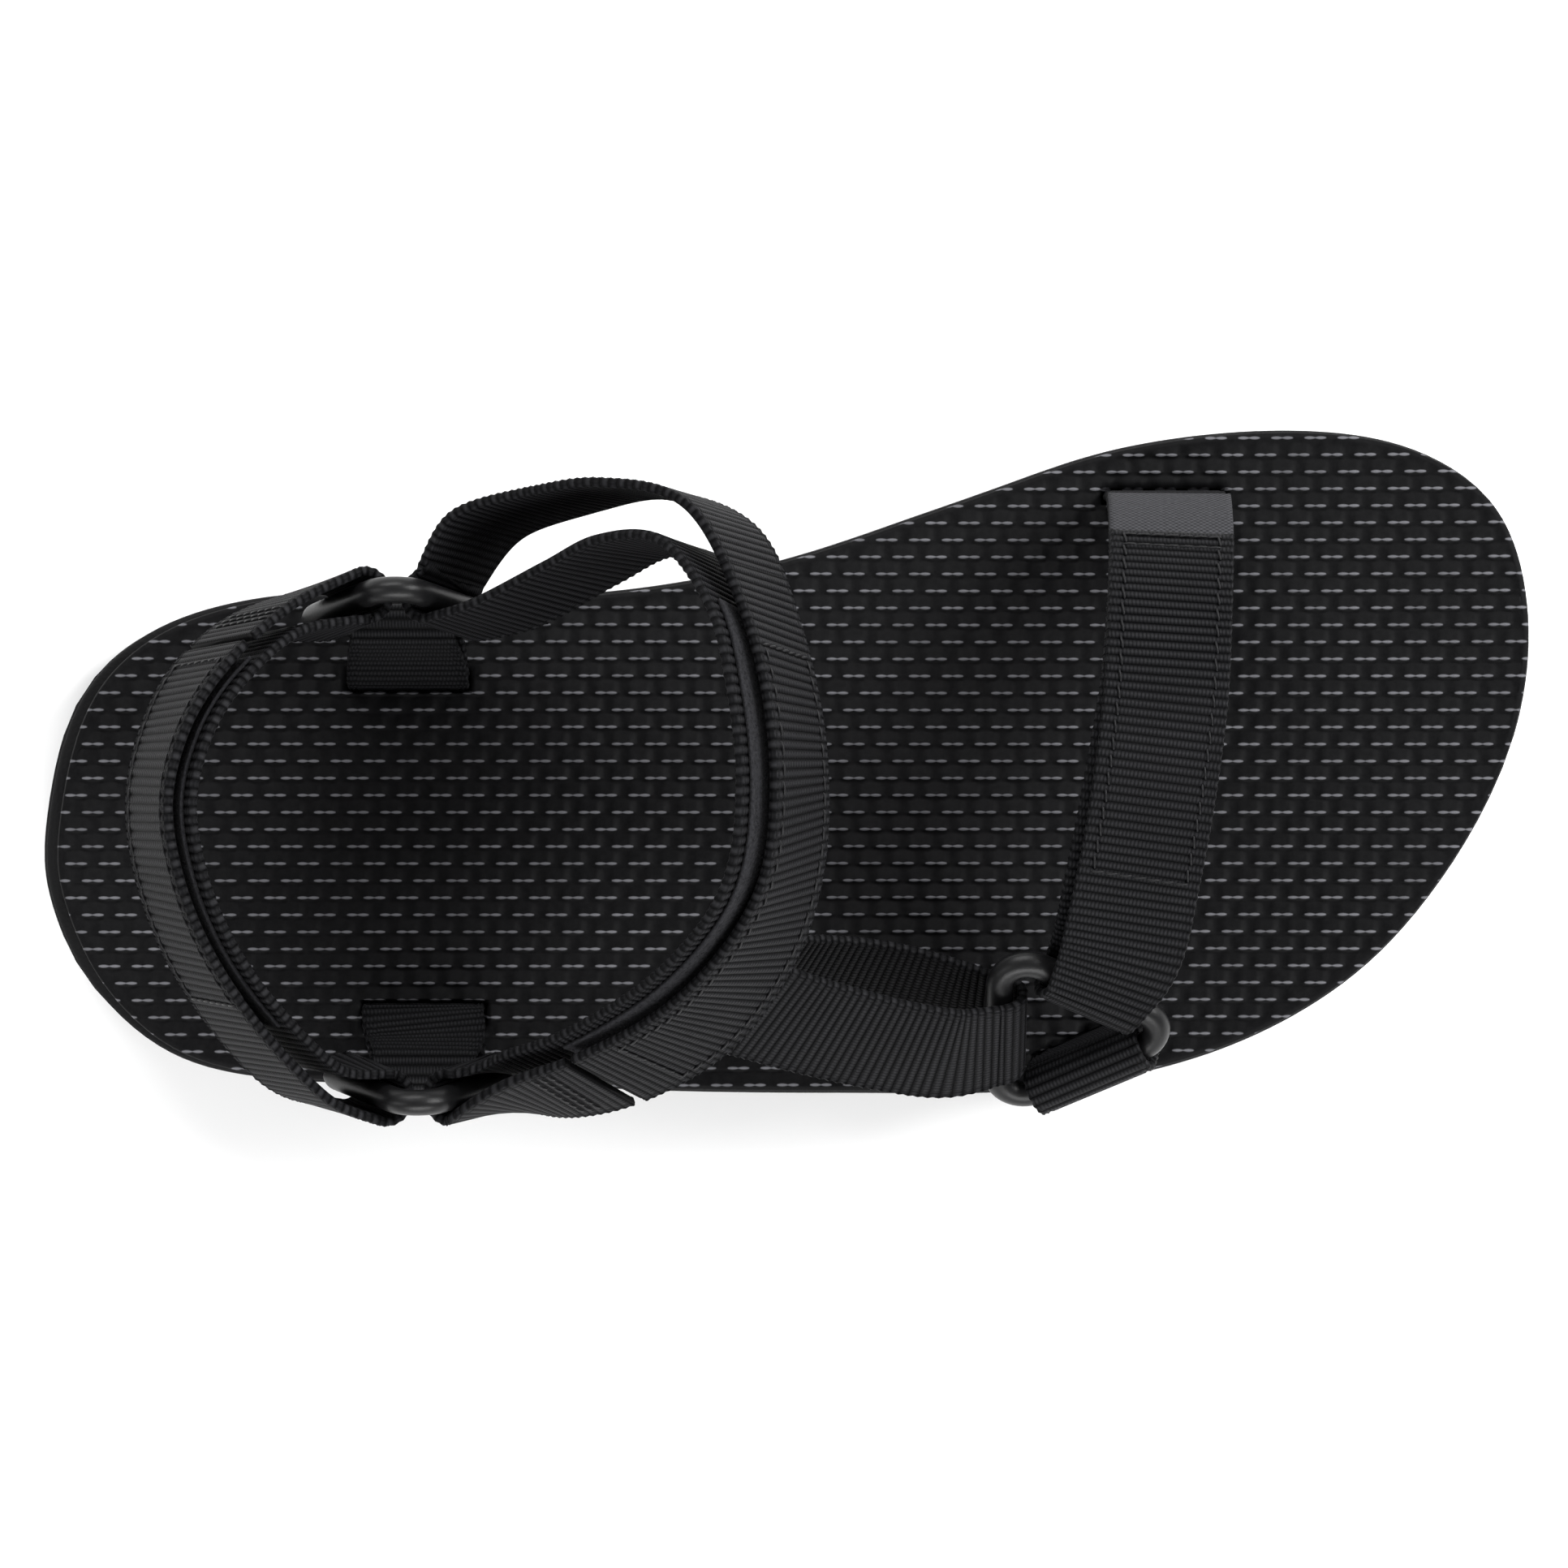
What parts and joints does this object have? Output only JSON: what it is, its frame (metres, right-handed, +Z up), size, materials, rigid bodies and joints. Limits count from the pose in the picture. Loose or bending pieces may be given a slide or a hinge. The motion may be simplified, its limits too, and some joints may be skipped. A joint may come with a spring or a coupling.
{
  "type": "strappy sport sandal",
  "caption": "Right-foot sport sandal with a foam and rubber sole and black webbing straps held by triangular rings, closed by peel-open hook-and-loop flaps over toes, instep and heel.",
  "frame": {"origin": "on the ground under the middle of the sole, on a tread block", "axes": "+X towards the toe, +Y towards the inner side of the foot, +Z up"},
  "size_m": [0.2477, 0.1139, 0.0998],
  "materials": {
    "outsole_rubber": "matte moulded rubber",
    "midsole_foam": "matte closed-cell foam",
    "footbed_foam": "moulded basket-weave foam",
    "webbing": "ribbed polyester webbing",
    "loop_tape": "brushed loop pile",
    "hook_tape": "moulded hooks on woven backing",
    "pull_tab": "bare tape backing",
    "thread": "lockstitch thread",
    "ring_plastic": "moulded, semi-gloss"
  },
  "bodies": {
    "sole": {"outsole": "outsole_rubber", "midsole": "midsole_foam", "footbed": "footbed_foam", "toe_strap_base": "webbing", "toe_loop_tape": "loop_tape", "front_anchor_strap": "webbing", "side_strap": "webbing", "instep_strap_base": "webbing", "instep_loop_tape": "loop_tape", "medial_anchor_strap": "webbing", "lateral_anchor_strap": "webbing", "heel_strap_base": "webbing", "heel_loop_tape": "loop_tape", "strap_bar_tacks": "thread"},
    "toe_flap": {"toe_strap_flap": "webbing", "toe_hook_tape": "hook_tape", "toe_pull_tab": "pull_tab", "toe_flap_stitching": "thread"},
    "instep_flap": {"instep_strap_flap": "webbing", "instep_hook_tape": "hook_tape", "instep_flap_stitching": "thread"},
    "heel_flap": {"heel_strap_flap": "webbing", "heel_hook_tape": "hook_tape", "heel_flap_stitching": "thread"},
    "front_ring": {"front_ring": "ring_plastic"},
    "medial_ring": {"medial_ring": "ring_plastic"},
    "lateral_ring": {"lateral_ring": "ring_plastic"}
  },
  "joints": [
    {"name": "toe_flap_peel", "type": "hinge", "parent": "sole", "child": "toe_flap", "pos_m": [0.04955, -0.0333, 0.04362], "axis": [0.866, -0.383, -0.3214], "range_deg": [0, 60]},
    {"name": "instep_flap_peel", "type": "hinge", "parent": "sole", "child": "instep_flap", "pos_m": [-0.00963, 0.04205, 0.07739], "axis": [-0.5746, 0.2041, 0.7926], "range_deg": [0, 50]},
    {"name": "heel_flap_peel", "type": "hinge", "parent": "sole", "child": "heel_flap", "pos_m": [-0.06775, -0.04909, 0.05019], "axis": [0.5, -0.1355, 0.8554], "range_deg": [0, 60]},
    {"name": "front_ring_rock", "type": "hinge", "parent": "sole", "child": "front_ring", "pos_m": [0.04955, -0.0467, 0.03238], "axis": [0.866, 0.383, 0.3214], "range_deg": [-2, 2]},
    {"name": "medial_ring_rock", "type": "hinge", "parent": "sole", "child": "medial_ring", "pos_m": [-0.0625, 0.02607, 0.03528], "axis": [-1, 0, 0], "range_deg": [-2, 2]},
    {"name": "lateral_ring_rock", "type": "hinge", "parent": "sole", "child": "lateral_ring", "pos_m": [-0.059, -0.04672, 0.03522], "axis": [1, 0, 0], "range_deg": [-2, 2]}
  ]
}
